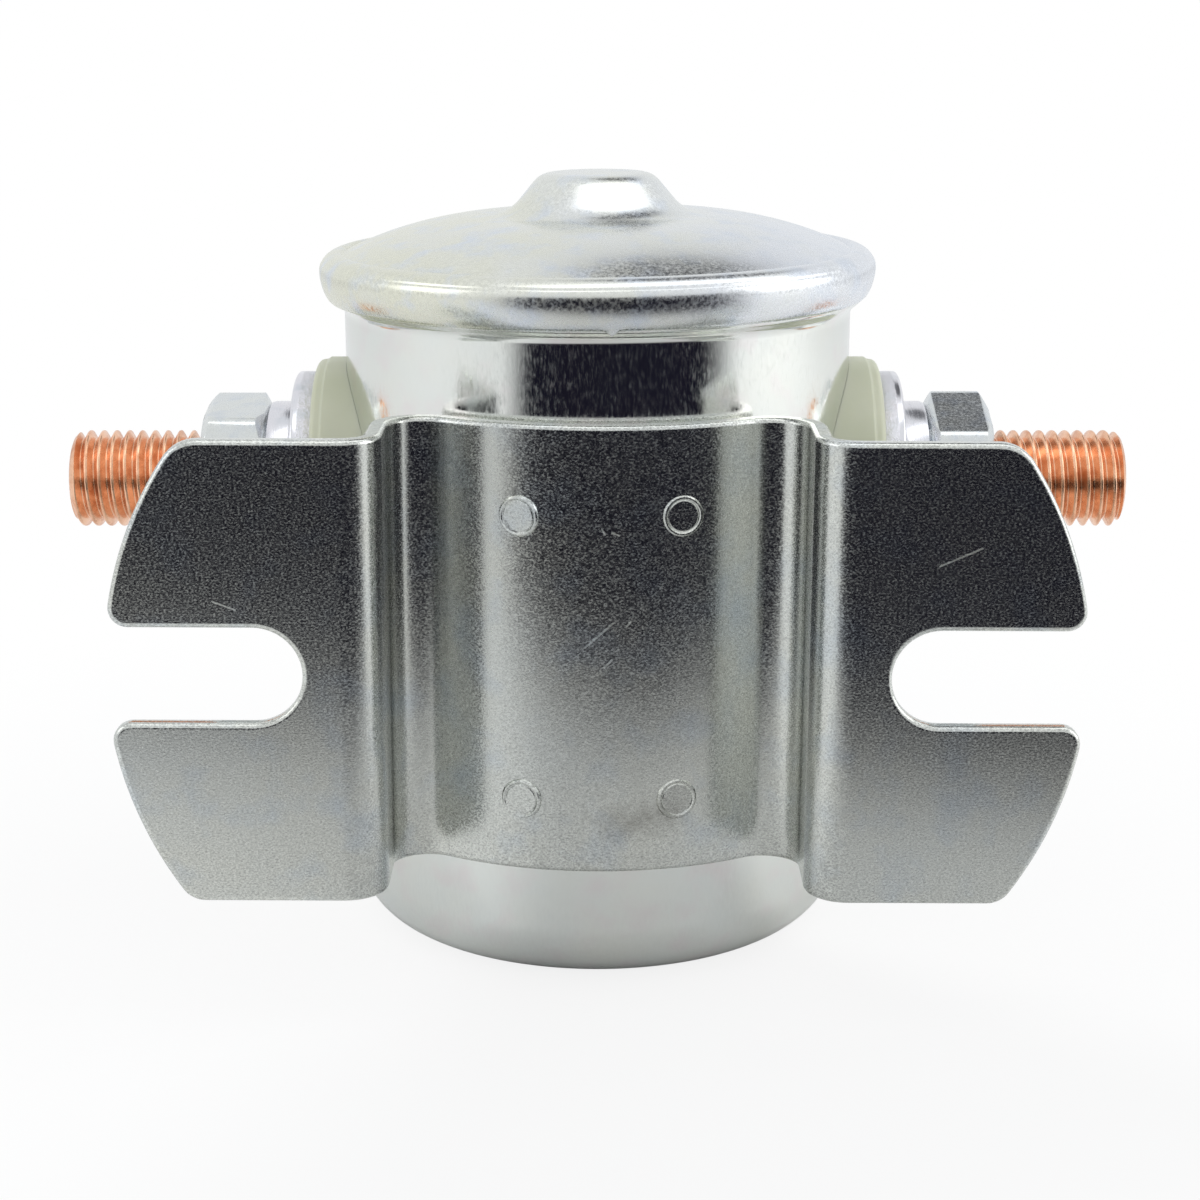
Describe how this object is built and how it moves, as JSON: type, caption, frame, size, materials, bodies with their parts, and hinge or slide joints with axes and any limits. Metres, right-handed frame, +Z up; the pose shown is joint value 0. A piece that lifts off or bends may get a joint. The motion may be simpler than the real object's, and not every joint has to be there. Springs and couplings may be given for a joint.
{
  "type": "starter solenoid relay",
  "caption": "Starter solenoid relay: crimped steel can with a slotted spot-welded bracket, insulated copper main studs, small control studs and a coil-driven plunger with a contact disc.",
  "frame": {"origin": "on the can's axis, at the can's flat underside", "axes": "+Z up along the can, X along the main studs, -Y out of the bracket's mounting face"},
  "size_m": [0.086, 0.0581, 0.0616],
  "materials": {
    "zinc_can": "drawn steel, bright zinc plate with a faint clear chromate",
    "zinc_cap": "pressed steel, satin zinc plate",
    "zinc_bracket": "pressed sheet steel, grained zinc plate with a clear chromate",
    "zinc_hardware": "bright zinc plated fasteners",
    "copper_stud": "bare copper with rolled threads",
    "steel_stud": "zinc plated steel with rolled threads",
    "nylon": "natural nylon, slightly translucent",
    "bobbin_nylon": "moulded nylon",
    "rubber": "black sealing rubber",
    "winding_copper": "enamelled copper wire",
    "tape": "insulating paper tape",
    "soft_iron": "plain machined steel",
    "spring_steel": "drawn spring wire",
    "phenolic": "moulded brown phenolic"
  },
  "bodies": {
    "housing": {"can": "zinc_can", "cap": "zinc_cap", "cap_gasket": "rubber", "mounting_bracket": "zinc_bracket", "left_main_stud": "copper_stud", "right_main_stud": "copper_stud", "left_outer_insulator": "nylon", "right_outer_insulator": "nylon", "left_inner_insulator": "nylon", "right_inner_insulator": "nylon", "left_flat_washer": "zinc_hardware", "right_flat_washer": "zinc_hardware", "left_lock_washer": "zinc_hardware", "right_lock_washer": "zinc_hardware", "left_nut": "zinc_hardware", "right_nut": "zinc_hardware", "left_control_stud": "steel_stud", "right_control_stud": "steel_stud", "left_control_insulator": "nylon", "right_control_insulator": "nylon", "left_control_inner_insulator": "nylon", "right_control_inner_insulator": "nylon", "left_control_washer": "zinc_hardware", "right_control_washer": "zinc_hardware", "left_control_lock_washer": "zinc_hardware", "right_control_lock_washer": "zinc_hardware", "left_control_nut": "zinc_hardware", "right_control_nut": "zinc_hardware", "pole_core": "soft_iron", "coil_bobbin": "bobbin_nylon", "coil_winding": "winding_copper", "coil_tape": "tape", "flux_plate": "soft_iron", "left_coil_lead": "winding_copper", "right_coil_lead": "winding_copper", "return_spring": "spring_steel"},
    "plunger": {"plunger_core": "soft_iron", "plunger_stem": "soft_iron", "stem_bush": "phenolic", "spring_seat": "spring_steel", "retaining_clip": "spring_steel", "contact_spring": "spring_steel"},
    "contact": {"contact_disc": "copper_stud"}
  },
  "joints": [
    {"name": "plunger_slide", "type": "slide", "parent": "housing", "child": "plunger", "axis": [0, 0, -1], "range_m": [0, 0.0024], "stiffness_N_per_m": 400, "springref_m": -0.01, "deforming": ["return_spring"]},
    {"name": "contact_slide", "type": "slide", "parent": "plunger", "child": "contact", "axis": [0, 0, 1], "range_m": [0, 0.0009], "deforming": ["contact_spring"]}
  ],
  "couplings": [
    {"joint": "contact_slide", "follows": "plunger_slide", "ratio": 0.375}
  ]
}
